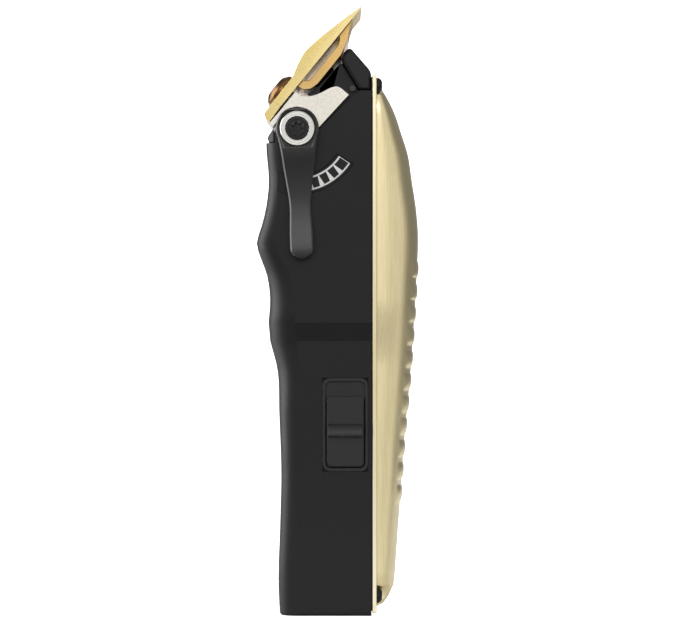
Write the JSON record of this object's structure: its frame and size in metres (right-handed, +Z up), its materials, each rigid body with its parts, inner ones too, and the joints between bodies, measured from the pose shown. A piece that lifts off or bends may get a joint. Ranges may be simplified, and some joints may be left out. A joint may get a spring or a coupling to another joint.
{
  "type": "hair clipper",
  "caption": "Cordless hair clipper with a slanted toothed blade set, side taper lever, side power slide, matte housing and a metal top cover with grip ribs.",
  "frame": {"origin": "centre of the flat base on the mid-plane between the two sides", "axes": "+Z up from the base to the blades, +X to the gold top cover, -Y to the taper lever's side"},
  "size_m": [0.0445, 0.0485, 0.1649],
  "materials": {
    "housing_black": "soft matte black paint on die-cast metal",
    "black_plastic": "moulded matte",
    "seal_black": "thin seal",
    "gold_cover": "gold anodised, satin",
    "gold_blade": "gold titanium coated, fine satin",
    "bronze_screw": "bronze coated",
    "carrier_steel": "polished nickel",
    "lever_black": "satin black",
    "bright_ring": "turned bright",
    "black_screw": "black oxide",
    "cam_steel": "ground",
    "motor_steel": "plated",
    "bush_bronze": "sintered",
    "magnet": "ferrite",
    "iron_core": "laminated",
    "copper": "contact metal",
    "cell_wrap": "shrink sleeve",
    "board_green": "solder mask",
    "led_lens": "clear"
  },
  "bodies": {
    "housing": {"housing_shell": "housing_black", "front_collar": "housing_black", "lid_shell": "gold_cover", "lid_gasket": "seal_black", "lid_screws": "black_screw", "nose_cap": "housing_black", "head_block": "black_plastic", "head_pins": "black_screw", "blade_spring": "cam_steel", "scale_plate": "black_plastic", "switch_bezel": "black_plastic", "switch_body": "black_plastic", "motor_can": "motor_steel", "front_bush": "bush_bronze", "motor_end_cap": "black_plastic", "motor_magnets": "magnet", "motor_bracket": "motor_steel", "motor_screws": "cam_steel", "battery_cell": "cell_wrap", "battery_tabs": "copper", "battery_cradle": "black_plastic", "control_board": "board_green", "board_screws": "cam_steel", "dc_socket": "black_plastic", "socket_contact": "copper", "charge_led": "led_lens"},
    "lever": {"taper_lever": "lever_black", "lever_ring": "bright_ring", "lever_screw": "black_screw", "lever_cam": "cam_steel"},
    "carrier": {"blade_carrier": "carrier_steel", "fixed_blade": "gold_blade", "blade_nut_bar": "carrier_steel", "blade_screws": "bronze_screw"},
    "cutter": {"cutter_blade": "gold_blade", "cutter_yoke": "black_plastic"},
    "rotor": {"motor_shaft": "cam_steel", "armature": "iron_core", "commutator": "copper", "eccentric": "bush_bronze", "drive_pin": "cam_steel"},
    "switch": {"power_slider": "black_plastic", "switch_actuator": "black_plastic"}
  },
  "joints": [
    {"name": "taper_hinge", "type": "hinge", "parent": "housing", "child": "lever", "pos_m": [-0.0081, 0, 0.132], "axis": [0, -1, 0], "range_deg": [-14, 41]},
    {"name": "blade_slide", "type": "slide", "parent": "housing", "child": "carrier", "axis": [-0.632, 0, -0.775], "range_m": [-0.00062, 0.00181]},
    {"name": "cutter_stroke", "type": "slide", "parent": "housing", "child": "cutter", "axis": [0, 1, 0], "range_m": [-0.0015, 0.0015]},
    {"name": "motor_spin", "type": "hinge", "parent": "housing", "child": "rotor", "pos_m": [-0.0005, 0, 0.1], "axis": [0, 0, 1], "continuous": true},
    {"name": "power_slide", "type": "slide", "parent": "housing", "child": "switch", "axis": [0, 0, 1], "range_m": [0, 0.0038]}
  ],
  "couplings": [
    {"joint": "taper_hinge", "follows": "blade_slide", "rad_per_m": 395.88}
  ]
}
